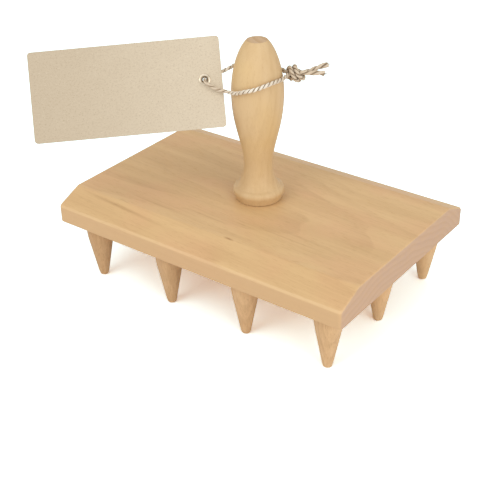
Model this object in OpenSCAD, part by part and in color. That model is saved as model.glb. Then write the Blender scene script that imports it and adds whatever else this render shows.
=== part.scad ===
// Multi dibber board for seed trays: a turned handle on a bevelled board, twelve tapered
// pegs under it, and a card swing tag on a loop of twine round the handle.
// X runs along the board, Y across it with the front at -Y, and the pegs stand on Z = 0.

/* [Board] */
// Length of the board, along the grain
board_l = 230.8; // [215:0.2:300]
// Width of the board
board_w = 155.8; // [148:0.2:200]
// Thickness of the board at its middle
board_t = 20.6; // [18:0.1:26]
// Thickness at the long edges, below the bevels
edge_t = 12.5; // [9:0.1:16]
// Width of the bevel along each long top edge
bevel_w = 19.5; // [10:0.5:30]
// Radius of the softened arrises
arris_r = 0.8; // [0.3:0.1:2.4]
// Radius of the four upright corners
corner_r = 2.6; // [2.5:0.1:5]

/* [Pegs] */
// Pegs in each row
pegs_per_row = 4; // [2:1:4]
// Spacing of the pegs along the board
peg_pitch_x = 63.5; // [40:0.5:66]
// Spacing of the rows across the board
peg_pitch_y = 62.5; // [40:0.5:64]
// How far the pattern sits right of the middle of the board
peg_shift_x = 1.5; // [0:0.1:3]
// How far the pattern sits behind the middle of the board
peg_shift_y = 1; // [0:0.1:2]
// Length of a peg below the board
peg_l = 43.5; // [40:0.5:60]
// Diameter of a peg where it meets the board
peg_d = 18.8; // [17:0.1:24]
// Diameter of the cone at its tip
peg_tip_d = 6.2; // [4:0.1:9]
// Height of the straight cone above the tip
peg_cone_l = 29; // [20:0.5:32]
// Height at which the cone has faded into the round top
peg_fade_l = 38; // [34:0.5:39]
// Radius of the rounding at the tip
peg_tip_r = 1; // [0.4:0.1:1.8]
// Diameter of the tenon glued into the board
tenon_d = 12; // [8:0.5:14]
// Length of the tenon
tenon_l = 10; // [6:0.5:11]

/* [Handle] */
// Height of the handle above the board
handle_h = 111.5; // [108:0.5:130]
// Radius of the foot where it stands on the board
foot_r = 15.6; // [15:0.1:20]
// Radius of the bead's round edge
bead_r = 3.4; // [3:0.1:4]
// Height of the bead's widest place
bead_h = 6.2; // [5.5:0.1:7]
// Largest radius of the bead
bead_reach = 17.6; // [17:0.1:22]
// Smallest radius, at the neck
neck_r = 9.75; // [8:0.05:11]
// Height of the neck
neck_h = 25; // [22:0.5:32]
// Largest radius of the grip
grip_r = 17.3; // [16:0.1:17.3]
// Height of the grip's widest place
grip_h = 76; // [68:0.5:76]
// Radius of the small flat on top
top_r = 6.9; // [4:0.1:9]

/* [Screw] */
// Diameter of the screw that holds the handle from beneath
screw_d = 5; // [4:0.5:6]
// Diameter of its countersunk head
screw_head_d = 9.6; // [8.5:0.1:12]
// Length of the screw
screw_l = 50; // [40:1:60]

/* [Tag] */
// Length of the card
card_l = 123.7; // [80:0.1:127]
// Width of the card
card_w = 59; // [40:0.1:62]
// Thickness of the card
card_t = 0.6; // [0.4:0.1:1]
// Radius of the card's corners
card_r = 2.3; // [1:0.1:6]
// From the card's short edge to the eyelet
eyelet_in = 11.4; // [7:0.1:12]
// How far the eyelet sits above the card's middle line
eyelet_up = 1.9; // [0:0.1:4]
// Diameter of the eyelet's bore
eyelet_bore = 4.2; // [4.2:0.1:5]
// Diameter of the eyelet's flange
eyelet_d = 7.7; // [7:0.1:9]
// Direction that the card's long edge points, seen from above
tag_heading = 36.7; // [36.7:0.1:36.8]
// How far the card leans back from lying flat
tag_lean = 58.9; // [58.8:0.1:59]
// How far the card is turned in its own plane
tag_roll = 4.3; // [0:0.1:6]

/* [Twine] */
// Diameter of the twine
twine_d = 2.6; // [1.8:0.1:2.6]
// Height above the board at which the loop lies on the handle
loop_h = 85.9; // [85.9:0.1:90]

/* [Fits] */
// Gap round the tenons and the screw, taken up by glue and thread
glue_gap = 0.05; // [0.02:0.01:0.15]

/* [Hidden] */
row_names = ["front", "middle", "back"];
$fn = 64;

board_z = peg_l;
handle_z = board_z + board_t;
loop_z = handle_z + loop_h;
bevel_rise = board_t - edge_t;

function peg_name(row, i) = str("peg_", row, "_", i);
function peg_x(i) = peg_shift_x + (i - (pegs_per_row + 1) / 2) * peg_pitch_x;
function peg_y(row) = peg_shift_y + (row - (len(row_names) - 1) / 2) * peg_pitch_y;

function unit(v) = v / norm(v);
function arc(centre, r, from, to, steps) =
    [for (i = [0 : steps]) let (a = from + (to - from) * i / steps) centre + r * [cos(a), sin(a)]];
function bezier(a, b, c, d, steps) =
    [for (i = [0 : steps]) let (t = i / steps, s = 1 - t)
        s * s * s * a + 3 * s * s * t * b + 3 * s * t * t * c + t * t * t * d];

// ---- board

// End outline of the board: square below, bevelled on both long edges above
board_outline = [
    [-board_w / 2, 0],
    [board_w / 2, 0],
    [board_w / 2, edge_t],
    [board_w / 2 - bevel_w, edge_t + bevel_rise],
    [bevel_w - board_w / 2, edge_t + bevel_rise],
    [-board_w / 2, edge_t]
];

// Centre of a circle of radius r that touches both sides of corner i
function corner_centre(outline, i, r) =
    let (n = len(outline), p = outline[i])
    let (u = unit(outline[(i + n - 1) % n] - p), v = unit(outline[(i + 1) % n] - p))
    p + (u + v) * r / abs(u[0] * v[1] - u[1] * v[0]);

// A slice of the board with the given length, its outline drawn in by inset
module board_slab(length, inset) {
    rotate([90, 0, 90]) linear_extrude(length, center = true) hull()
        for (i = [0 : len(board_outline) - 1])
            translate(corner_centre(board_outline, i, arris_r))
                circle(max(arris_r - inset, 0.01), $fn = 24);
}

module board() {
    arris_steps = [0, 30, 60, 90];
    color("#d9b487") difference() {
        translate([0, 0, board_z]) intersection() {
            hull() for (a = arris_steps)
                board_slab(board_l - 2 * arris_r * (1 - sin(a)), arris_r * (1 - cos(a)));
            translate([0, 0, board_t / 2]) upright_corners();
        }
        for (row = [0 : len(row_names) - 1], i = [1 : pegs_per_row])
            translate([peg_x(i), peg_y(row), board_z - 1])
                cylinder(tenon_l + 1 + 2 * glue_gap, d = tenon_d + 2 * glue_gap);
        screw_hole();
    }
}

// Block as large as the board, with its four upright corners rounded
module upright_corners() {
    x = board_l / 2 - corner_r;
    y = board_w / 2 - corner_r;
    linear_extrude(board_t + 2, center = true) {
        square([board_l, 2 * y], center = true);
        square([2 * x, board_w], center = true);
        for (sx = [-1, 1], sy = [-1, 1])
            translate([sx * x, sy * y]) circle(corner_r);
    }
}

// ---- pegs

// Half outline of a peg from its tip up, with the tenon on top
function peg_outline() =
    let (r = peg_d / 2, t = peg_tip_d / 2, k = peg_tip_r)
    let (slope = (r - t) / (peg_cone_l + peg_fade_l) * 2, cone_r = t + slope * peg_cone_l)
    concat(
        [[0, 0]],
        arc([t - k, k], k, -90, 0, 5),
        bezier([t + slope * peg_cone_l, peg_cone_l], [cone_r + slope * 3, peg_cone_l + 3],
               [r, peg_fade_l - 3], [r, peg_fade_l], 6),
        [
            [r, peg_l],
            [tenon_d / 2, peg_l],
            [tenon_d / 2, peg_l + tenon_l - 1],
            [tenon_d / 2 - 1, peg_l + tenon_l],
            [0, peg_l + tenon_l]
        ]
    );

module peg(row, i) {
    color("#dcb88a") translate([peg_x(i), peg_y(row), 0])
        rotate_extrude() polygon(peg_outline());
}

// ---- handle

// Half outline of the handle: conical foot, bead, cove, neck, grip, crown
function handle_outline() =
    let (foot = [foot_r, 0], bead = [bead_reach - bead_r, bead_h])
    let (below = foot - bead, touch = atan2(below[1], below[0]) + acos(bead_r / norm(below)))
    let (neck = [neck_r, neck_h], grip = [grip_r, grip_h], top = [top_r, handle_h])
    let (climb = [0, grip_h - neck_h])
    concat(
        [[0, 0], foot],
        arc(bead, bead_r, touch, 72, 9),
        bezier(bead + [0.4, bead_r], [neck_r + 2.6, bead[1] + 5.1],
               neck - [-0.1, 6.5], neck, 10),
        bezier(neck, neck + 0.31 * climb, grip - 0.47 * climb, grip, 12),
        bezier(grip, grip + [0, 14], top + [6.2, -6.4], top, 12),
        [[0, handle_h]]
    );

module handle() {
    color("#dfc08d") difference() {
        translate([0, 0, handle_z]) rotate_extrude() polygon(handle_outline());
        screw_hole();
    }
}

// ---- screw

// Half outline of the screw, head down, grown by the given gap
function screw_outline(gap) =
    let (r = screw_d / 2 + gap, head_r = screw_head_d / 2 + gap)
    [
        [0, -gap],
        [head_r, -gap],
        [head_r, 0.4],
        [r, 0.4 + head_r - r],
        [r, screw_l - 5],
        [0, screw_l + gap]
    ];

module screw_hole() {
    translate([0, 0, board_z]) rotate_extrude() polygon(screw_outline(glue_gap));
}

module handle_screw() {
    recess = screw_head_d * 0.55;
    color("silver") difference() {
        translate([0, 0, board_z]) rotate_extrude() polygon(screw_outline(0));
        for (a = [0, 90]) rotate([0, 0, a])
            translate([-recess / 2, -0.5, board_z - 1]) cube([recess, 1, 3]);
    }
}

// ---- tag

eyelet_at = [-27, -20.5, loop_z - 0.5];
flange_r = eyelet_d / 2;
bore_r = eyelet_bore / 2;
barrel_r = bore_r + 0.4;

// Direction of the eyelet's bore, towards the front of the card
tag_normal = [
    sin(tag_heading) * sin(tag_lean),
    -cos(tag_heading) * sin(tag_lean),
    cos(tag_lean)
];

// Places what is drawn round the eyelet, with the card flat, where the tag hangs
module on_tag() {
    translate(eyelet_at) rotate([tag_lean, 0, tag_heading]) rotate([0, 0, tag_roll]) children();
}

module tag_card() {
    x = card_l / 2 - card_r;
    y = card_w / 2 - card_r;
    color("#dccbb0") on_tag() translate([eyelet_in - card_l / 2, -eyelet_up, 0]) difference() {
        linear_extrude(card_t, center = true) {
            square([card_l, 2 * y], center = true);
            square([2 * x, card_w], center = true);
            for (sx = [-1, 1], sy = [-1, 1])
                translate([sx * x, sy * y]) circle(card_r);
        }
        translate([card_l / 2 - eyelet_in, eyelet_up, -card_t])
            cylinder(2 * card_t, r = barrel_r + glue_gap);
    }
}

// Half outline of the eyelet: a domed flange on each face, joined by the barrel
function eyelet_outline() =
    let (mid = (flange_r + bore_r) / 2, half = (flange_r - bore_r) / 2, dome = 0.4, t = card_t / 2)
    concat(
        [for (a = [0 : 22.5 : 180]) [mid + half * cos(a), t + dome * sin(a)]],
        [for (a = [180 : 22.5 : 360]) [mid + half * cos(a), -t + dome * sin(a)]],
        [[barrel_r, -t], [barrel_r, t]]
    );

module tag_eyelet() {
    color("#cfc8b8") on_tag() rotate_extrude() polygon(eyelet_outline());
}

// ---- twine

// Frame of the knot: where it sits off the handle's axis and its height above the loop
knot_heading = 37;
knot_r = 21;
knot_up = 2;

// A place in the knot, given as outwards, up and towards the front
function knot_point(p) = [
    (knot_r + p[0]) * cos(knot_heading) + p[2] * sin(knot_heading),
    (knot_r + p[0]) * sin(knot_heading) - p[2] * cos(knot_heading),
    knot_up + p[1]
];

// The strand that comes round the front of the handle, through the knot and out
front_strand = [
    [-6.5, 0.5, 11], [-5, 0.5, 8.5], [-3.5, 0.5, 6], [-2, 0.5, 3], [0, 1, 0.5], [2, 1.5, -0.5],
    [4, 1.5, -2], [6.5, 0.5, -4], [8.5, -2, -3], [8.5, -3, 0], [7, -1.5, 3], [5, 1, 4],
    [4, 3, 3], [3.5, 4.5, 0], [3, 4.5, -2.5], [2.5, 2, -5.5], [2, -1, -7], [1.5, -3.5, -5],
    [2.5, -3, -2], [5.5, -1.5, -1], [7.5, 0, -1], [10, 1, -1.5], [13, 1.5, -2], [16, 2.5, -2.5],
    [18.5, 3.5, -2.5], [21.5, 4.5, -2.5], [24.5, 5, -3]
];

// The strand that comes round the back of the handle, through the knot and out
back_strand = [
    [-6.5, -0.5, -11], [-4.5, 0, -8.5], [-4, 0.5, -5.5], [-2.5, 0.5, -3], [1, 0, -3], [3.5, -1, -4],
    [5.5, -3.5, -4], [6, -4.5, -1], [5, -3.5, 2], [3, -2, 4], [1.5, 1, 3.5], [0.5, 3.5, 2],
    [0, 4, -1], [-0.5, 3, -4], [-1, 0.5, -6], [-1, -2, -4.5], [-0.5, -3, -1], [1.5, -2.5, 1],
    [4.5, 0.5, 1], [7, 2, 1.5], [10, 1.5, 1.5], [13, 1, 1], [16, 1, 1], [19, 1, 1], [22, 0.5, 1]
];

// Round the back of the handle to the eyelet, then from the eyelet round the front
loop_back = [
    [-1, 18.5, 1.5], [-7, 17, 2.5], [-12, 13.5, 3.5], [-16, 8, 4.5], [-18, 2, 5],
    [-18.5, -5, 4.5], [-21.5, -8.5, 2.5], [-25, -12, 0], [-27.5, -15.5, -2]
];
loop_front = [
    [-24, -23.5, -0.5], [-20.5, -23, -2.5], [-16, -21.5, -4.5], [-12, -19, -5.5],
    [-8, -18, -6], [-3, -19, -5], [3.5, -19, -2.5], [10, -16, -0.5], [14.5, -11.5, 1.5],
    [17, -6, 2.5]
];

function reversed(list) = [for (i = [len(list) - 1 : -1 : 0]) list[i]];

loop_lift = [0, 0, loop_z];
// Points through the eyelet, square to the card
through_eyelet = [for (s = [-2, 0, 2]) eyelet_at - loop_lift + s * tag_normal];
route = concat(
    [for (p = reversed(back_strand)) knot_point(p)],
    loop_back,
    through_eyelet,
    loop_front,
    [for (p = front_strand) knot_point(p)]
);

// Spans of the route that lie in the loop, in the knot and in the tails
knot_spans = 19;
lower_tail = len(back_strand) - 1 - knot_spans;
loop_start = len(back_strand) - 1;
loop_end = len(route) - len(front_strand);
upper_tail = loop_end + knot_spans + 1;
rings_per_span = 2;

// Smooth curve through the route's points
function curve(i, t) =
    let (n = len(route) - 1, b = route[i], c = route[i + 1])
    let (a = i > 0 ? route[i - 1] : 2 * b - c, d = i + 2 <= n ? route[i + 2] : 2 * c - b)
    0.5 * (2 * b + (c - a) * t + (2 * a - 5 * b + 4 * c - d) * t * t
        + (3 * b - a - 3 * c + d) * t * t * t);

centres = [
    for (i = [0 : len(route) - 2], k = [0 : rings_per_span - 1]) curve(i, k / rings_per_span),
    route[len(route) - 1]
];
last = len(centres) - 1;

function heading(i) = unit(centres[min(i + 1, last)] - centres[max(i - 1, 0)]);
function square_to(v, t) = unit(v - (v * t) * t);

// One direction square to the twine at each ring, carried along without twist
sides_up = [
    for (i = 0, v = square_to([0, 0, 1], heading(0)); i <= last;
         i = i + 1, v = i <= last ? square_to(v, heading(i)) : v) v
];
twine_sides = 8;

function ring(i) =
    let (u = sides_up[i], w = cross(heading(i), u))
    [for (s = [0 : twine_sides - 1]) let (a = 360 * s / twine_sides)
        centres[i] + twine_d / 2 * (cos(a) * u + sin(a) * w)];

// The length of twine between two points of the route
module twine(from, to) {
    first = from * rings_per_span;
    count = (to - from) * rings_per_span;
    n = twine_sides;
    color("#b8a486") translate(loop_lift) polyhedron(
        points = [for (i = [0 : count]) each ring(first + i)],
        faces = concat(
            [[for (s = [0 : n - 1]) s]],
            [for (i = [0 : count - 1], s = [0 : n - 1]) let (a = i * n + s, b = i * n + (s + 1) % n)
                each [[a, a + n, b], [b, a + n, b + n]]],
            [[for (s = [n - 1 : -1 : 0]) count * n + s]]
        )
    );
}

module twine_loop() twine(loop_start, loop_end);
module twine_knot() {
    twine(lower_tail, loop_start);
    twine(loop_end, upper_tail);
}
module twine_tail_upper() twine(upper_tail, len(route) - 1);
module twine_tail_lower() twine(0, lower_tail);

// Least gap between turns of the twine, measured between its rings
ring_reach = 4.6;
path_at = [for (i = 0, s = 0; i <= last;
    i = i + 1, s = i <= last ? s + norm(centres[i] - centres[i - 1]) : s) s];
twine_gap = min([for (i = [0 : last - 1], k = [i + 1 : last])
    if (path_at[k] - path_at[i] > ring_reach) norm(centres[k] - centres[i])]) - twine_d;
echo(twine_gap = twine_gap, twine_length = path_at[last]);

board();
handle();
handle_screw();
for (row = [0 : len(row_names) - 1], i = [1 : pegs_per_row])
    peg(row, i);
twine_loop();
twine_knot();
twine_tail_upper();
twine_tail_lower();
tag_card();
tag_eyelet();
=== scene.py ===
"""Looks of the multi dibber board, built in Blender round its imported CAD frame.

Every length is in metres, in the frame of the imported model: X along the board, Y across it
with the front at -Y, and the pegs standing on Z = 0. Sizes repeat those of the part's source.
"""

import logging
import math
import random
from collections.abc import Callable, Mapping, Sequence
from dataclasses import dataclass
from enum import Enum
from typing import NamedTuple

import bmesh
import bpy
from mathutils import Matrix, Vector, noise


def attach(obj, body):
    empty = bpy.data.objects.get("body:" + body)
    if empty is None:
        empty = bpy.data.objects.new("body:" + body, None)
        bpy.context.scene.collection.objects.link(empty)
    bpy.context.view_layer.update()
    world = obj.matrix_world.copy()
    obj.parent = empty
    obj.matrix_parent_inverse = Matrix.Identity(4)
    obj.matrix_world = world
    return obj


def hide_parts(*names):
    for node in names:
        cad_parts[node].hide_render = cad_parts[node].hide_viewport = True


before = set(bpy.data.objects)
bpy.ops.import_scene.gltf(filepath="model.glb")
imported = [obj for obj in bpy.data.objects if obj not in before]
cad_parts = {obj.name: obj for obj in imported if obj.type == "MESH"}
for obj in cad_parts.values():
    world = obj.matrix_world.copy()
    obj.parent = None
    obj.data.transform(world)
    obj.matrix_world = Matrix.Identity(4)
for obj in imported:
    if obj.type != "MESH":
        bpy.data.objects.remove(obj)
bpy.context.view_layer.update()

LOG = logging.getLogger("dibber")

MM = 0.001
FULL_TURN = 2 * math.pi
UP = Vector((0, 0, 1))
CREASE = math.radians(38)
GLUE = 0.05 * MM
PEG_LENGTH = 43.5 * MM

Pair = tuple[float, float]
Triple = tuple[float, float, float]
Colour = tuple[float, float, float, float]
Shape = bmesh.types.BMesh
Piece = bpy.types.Object
Material = bpy.types.Material


class Body(Enum):
    """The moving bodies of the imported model."""

    BASE = "base"
    TWINE = "twine"
    TAG = "tag"


class Slot(Enum):
    """The record's material slots."""

    BOARD = "board_wood"
    HANDLE = "handle_wood"
    PEG = "peg_wood"
    SCREW = "screw_steel"
    TWINE = "twine"
    CARD = "card"
    EYELET = "eyelet_metal"


class Grain(Enum):
    """Which way the timber's fibres run."""

    ALONG_X = "along the board"
    UP_Z = "up the lathe's axis"


def mm(*lengths: float) -> tuple[float, ...]:
    """Lengths in metres from lengths in millimetres."""
    return tuple(length * MM for length in lengths)


def tone(red: int, green: int, blue: int) -> Colour:
    """Turn a display colour into the linear colour that shaders use.

    Args:
        red: Red, from 0 to 255.
        green: Green, from 0 to 255.
        blue: Blue, from 0 to 255.

    Returns:
        The linear colour, opaque.
    """
    shares = (value / 255 for value in (red, green, blue))
    linear = [s / 12.92 if s <= 0.04045 else ((s + 0.055) / 1.055) ** 2.4 for s in shares]
    return (*linear, 1.0)


def arc(centre: Pair, radius: float, start: float, end: float, steps: int) -> list[Pair]:
    """Points on an arc from one angle in degrees to another, both ends among them."""
    angles = [math.radians(start + (end - start) * i / steps) for i in range(steps + 1)]
    return [(centre[0] + radius * math.cos(a), centre[1] + radius * math.sin(a)) for a in angles]


def bezier(a: Pair, b: Pair, c: Pair, d: Pair, steps: int) -> list[Pair]:
    """Points on a cubic curve of an outline.

    Args:
        a: The first point.
        b: The first handle.
        c: The second handle.
        d: The last point.
        steps: How many pieces the curve is cut into.

    Returns:
        The points, both ends among them.
    """
    made = []
    for t in (i / steps for i in range(steps + 1)):
        weights = ((1 - t) ** 3, 3 * (1 - t) ** 2 * t, 3 * (1 - t) * t * t, t**3)
        made.append(tuple(sum(w * p[k] for w, p in zip(weights, (a, b, c, d))) for k in (0, 1)))
    return made


# Shaders


class Marks(NamedTuple):
    """Marks in a finish, made with noise.

    They have a size along each axis, finer layers, and where they are clear-cut a step from
    none to full. Their share is how far they change the colour, and some stand up or lie deep.
    """

    sizes: Triple
    detail: float = 2.0
    step: Pair | None = None
    share: float = 1.0
    raised: float = 0.0
    roughness: float = 0.5


def math_node(operation: str, swapped: bool = False) -> Callable[..., "Wire"]:
    """Make a method that adds a Math node.

    Args:
        operation: The node's operation.
        swapped: Whether the wire comes after the other value, as in 1 - mask.

    Returns:
        The method, on a wire and on another value where the operation has two.
    """

    def method(wire: "Wire", *others: "Wire | float") -> "Wire":
        """Add the node on the wire and the other value."""
        values = dict(enumerate((*others, wire) if swapped else (wire, *others)))
        return wire.shader.add("ShaderNodeMath", {"operation": operation}, values)

    return method


class Wire:
    """A shader socket that takes part in Python expressions."""

    def __init__(self, shader: "Shader", socket: bpy.types.NodeSocket) -> None:
        """Wrap a socket of a shader."""
        self.shader = shader
        self.socket = socket

    __add__ = __radd__ = math_node("ADD")
    __sub__, __rsub__ = math_node("SUBTRACT"), math_node("SUBTRACT", swapped=True)
    __mul__ = __rmul__ = math_node("MULTIPLY")
    __truediv__ = math_node("DIVIDE")
    __abs__ = math_node("ABSOLUTE")
    root = math_node("SQRT")
    wave = math_node("SINE")
    part = math_node("FRACT")
    larger = math_node("MAXIMUM")

    def rise(self, low: float, high: float) -> "Wire":
        """Go smoothly from 0 at one value to 1 at another."""
        values = {"Value": self, "From Min": low, "From Max": high}
        return self.shader.add("ShaderNodeMapRange", {"interpolation_type": "SMOOTHSTEP"}, values)


class Shader:
    """A node tree under construction, for a material or the world."""

    def __init__(self, owner: Material | bpy.types.World) -> None:
        """Start with an empty tree.

        Args:
            owner: The material or the world that the tree belongs to.
        """
        owner.use_nodes = True
        self.owner = owner
        self.tree = owner.node_tree
        self.tree.nodes.clear()

    def add(
        self,
        kind: str,
        settings: Mapping[str, object] | None = None,
        values: Mapping[str | int, object] | None = None,
        output: str | int = 0,
    ) -> Wire | None:
        """Add any node.

        Args:
            kind: The node's type.
            settings: Its properties, set first.
            values: What each input socket gets, a number, colour or wire.
            output: The output that the result wraps.

        Returns:
            The wrapped output, where the node has one.
        """
        node = self.tree.nodes.new(kind)
        for name, value in (settings or {}).items():
            setattr(node, name, value)
        for key, value in (values or {}).items():
            if isinstance(value, Wire):
                self.tree.links.new(value.socket, node.inputs[key])
            else:
                node.inputs[key].default_value = value
        return Wire(self, node.outputs[output]) if node.outputs else None

    def place(self, output: str = "Object") -> list[Wire]:
        """A texture coordinate of the piece.

        Args:
            output: Which coordinate it is.

        Returns:
            Its three parts.
        """
        vector = self.add("ShaderNodeTexCoord", output=output)
        split = self.add("ShaderNodeSeparateXYZ", values={0: vector}).socket.node
        return [Wire(self, part) for part in split.outputs]

    def marks(self, axes: Sequence[Wire], marks: Marks) -> Wire:
        """Spread marks over a surface.

        Args:
            axes: The three directions that the marks have their sizes along.
            marks: The kind of marks.

        Returns:
            Smooth noise around a half, or its step from 0 to 1.
        """
        parts = {i: axis / size for i, (axis, size) in enumerate(zip(axes, marks.sizes))}
        values = {
            "Vector": self.add("ShaderNodeCombineXYZ", values=parts),
            "Scale": 1.0,
            "Detail": marks.detail,
            "Roughness": marks.roughness,
        }
        spread = self.add("ShaderNodeTexNoise", values=values)
        return spread.rise(*marks.step) if marks.step else spread

    def mix(self, share: Wire | float, a: Wire | Colour, b: Wire | Colour) -> Wire:
        """A colour between two colours, the first at a share of 0 and the second at 1."""
        settings = {"data_type": "RGBA", "clamp_factor": True}
        return self.add("ShaderNodeMix", settings, {0: share, 6: a, 7: b}, output=2)

    def bump(self, height: Wire, depth: float, strength: float) -> Wire:
        """A normal bent by a height, of which 1 means a depth in metres."""
        values = {"Height": height, "Distance": depth, "Strength": strength}
        return self.add("ShaderNodeBump", values=values)

    def surface(self, values: Mapping[str, object]) -> Material:
        """Close a material with its main shader.

        Args:
            values: What the sockets of the main shader get.

        Returns:
            The material.
        """
        main = self.add("ShaderNodeBsdfPrincipled", values=values)
        self.add("ShaderNodeOutputMaterial", values={"Surface": main})
        return self.owner


class Streak(NamedTuple):
    """One stronger streak: its middle, its half length and half width, and how dark it is."""

    along: float
    across: float
    reach: float
    width: float
    depth: float


@dataclass(frozen=True)
class SoftWood:
    """A pale close-grained timber, sanded and lightly oiled."""

    name: str
    grain: Grain
    heart: Pair
    pale: Colour
    tan: Colour
    deep: Colour
    end: Colour
    warm: Colour
    # The tone of faces that stand upright
    upright_tone: Colour | None = None
    # The painted highlight on every arris: a lighter tone where the rounded edges catch the light
    worn_and_highlit: Colour = tone(240, 210, 168)
    slope: float = 0.0
    taper: float = 0.0
    ring_pitch: float = 3.6 * MM
    year_lines: float = 0.26
    figure: float = 0.6
    # Painted shade towards the foot: the heights over which it fades out, and how dark it gets
    painted_shade_below: Pair | None = None
    painted_shade_share: float = 0.18
    streaks: tuple[Streak, ...] = ()
    streak_sway: float = 6 * MM
    end_from: Pair = (0.55, 0.95)
    end_rings: float = 0.11
    # Whether each piece's map darkens it, for a tone of its own and painted shade
    tone_and_shade_per_piece: bool = False
    # Where in a year the late wood starts and stops, and where clouds let it show
    late: tuple[Pair, Pair] = ((0.25, 0.9), (0.93, 1.0))
    patchy: Pair = (0.3, 0.7)
    # How upright a face is, to take the upright tone, and how far from level an arris lies on
    # either side, to take the painted highlight
    upright: Pair = (0.5, 0.95)
    arris: tuple[Pair, Pair] = ((0.05, 0.4), (0.7, 0.9))
    arris_highlight_share: float = 0.2
    # Marks sized across the grain, through it and along it
    ring_sway: Marks = Marks(mm(38, 38, 170), 1.0, raised=14 * MM)
    fibres: Marks = Marks(mm(1.5, 1.5, 46), 3.0, share=0.9, raised=0.5)
    fine: Marks = Marks(mm(0.45, 0.45, 13), share=0.5, raised=0.3)
    pores: Marks = Marks(mm(0.42, 0.42, 5.5), 0.0, (0.66, 0.76), 0.38, -0.6)
    clouds: Marks = Marks(mm(34, 34, 62), 1.0, share=0.4)
    bands: Marks = Marks(mm(13, 13, 190), step=(0.34, 0.68))
    blush: Marks = Marks(mm(30, 30, 45), step=(0.42, 0.68), share=0.6)
    upright_patches: Marks = Marks(mm(2.4, 2.4, 9), 3.0, share=0.5)
    blotch: Marks = Marks(mm(3, 5, 2.2), 3.0, share=0.8)
    blotch_ground: float = 0.35
    # How rough it is, and how much fine marks, pores and end grain add to that
    roughness: float = 0.5
    roughened: Triple = (0.25, 0.15, 0.12)

    def material(self) -> Material:
        """Make the timber's material.

        Returns:
            The material, with rings, fibres, pores and end grain.
        """
        made = Shader(bpy.data.materials.new(self.name))
        place = made.place()
        axes = across, depth, along = self._log_axes(*place)
        sway = made.marks(axes, self.ring_sway)
        off = (across - self.heart[0], depth - self.heart[1])
        radius = (off[0] * off[0] + off[1] * off[1]).root() + sway * self.ring_sway.raised
        year = ((radius + along * self.taper) / self.ring_pitch).part()
        late_wood = year.rise(*self.late[0]) * (1 - year.rise(*self.late[1]))
        fibres, fine = made.marks(axes, self.fibres), made.marks(axes, self.fine)
        pores, clouds = made.marks(axes, self.pores), made.marks(axes, self.clouds)

        base = made.mix(made.marks(axes, self.bands), self.tan, self.pale)
        base = made.mix(made.marks(axes, self.blush) * self.blush.share, base, self.warm)
        dark = late_wood * clouds.rise(*self.patchy) * self.year_lines
        dark = dark + (0.5 - fibres) * self.fibres.share + (0.5 - fine) * self.fine.share
        dark = dark + pores * self.pores.share + (0.5 - clouds) * self.clouds.share
        dark = dark * self.figure
        # Each piece's map darkens it: a tone of its own, and painted shade where it gets less
        # light
        if self.tone_and_shade_per_piece:
            dark = dark + made.place("UV")[0]
        # Painted shade: darker below the grip and towards the foot, where less light falls
        if self.painted_shade_below:
            dark = dark + (1 - along.rise(*self.painted_shade_below)) * self.painted_shade_share
        for streak in self.streaks:
            bent = across + (sway - 0.5) * self.streak_sway - streak.across
            beside = 1 - abs(bent).rise(0.0, streak.width)
            within = 1 - abs(along - streak.along).rise(0.0, streak.reach)
            dark = dark + beside * within * streak.depth
        body = made.mix(dark, base, self.deep)
        # Faces that stand upright are drawn in a tone of their own, in patches
        if self.upright_tone:
            level = made.place("Normal")[2]
            upright_patches = made.marks(axes, self.upright_patches) * self.upright_patches.share + (1 - self.upright_patches.share)
            body = made.mix((1 - abs(level)).rise(*self.upright) * upright_patches, body, self.upright_tone)
            # Painted highlight: every arris is drawn lighter, where its rounded edge catches the
            # light
            arris = level.rise(*self.arris[0]) * (1 - level.rise(*self.arris[1]))
            body = made.mix(arris * self.arris_highlight_share, body, self.worn_and_highlit)
        end_on = abs(made.place("Normal")[0 if self.grain is Grain.ALONG_X else 2])
        end_on = end_on.rise(*self.end_from)
        blotch = made.marks(place, self.blotch) * self.blotch.share + self.blotch_ground
        colour = made.mix(end_on * blotch, body, self.end)
        colour = made.mix(end_on * late_wood * self.end_rings, colour, self.deep)
        height = fibres * self.fibres.raised + fine * self.fine.raised
        height = height + pores * self.pores.raised
        by_fine, by_pores, by_end = self.roughened
        rough = self.roughness + (fine - 0.5) * by_fine + pores * by_pores + end_on * by_end
        return made.surface(
            {
                "Base Color": colour,
                "Roughness": rough,
                "Specular IOR Level": 0.32,
                "Normal": made.bump(height, 0.1 * MM, 0.5),
            }
        )

    def _log_axes(self, x: Wire, y: Wire, z: Wire) -> tuple[Wire, Wire, Wire]:
        """Where a point is in the log: its two places across the grain, and its place along it."""
        along_x = self.grain is Grain.ALONG_X
        return (y + x * self.slope, z, x) if along_x else (x + z * self.slope, y, z)


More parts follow.
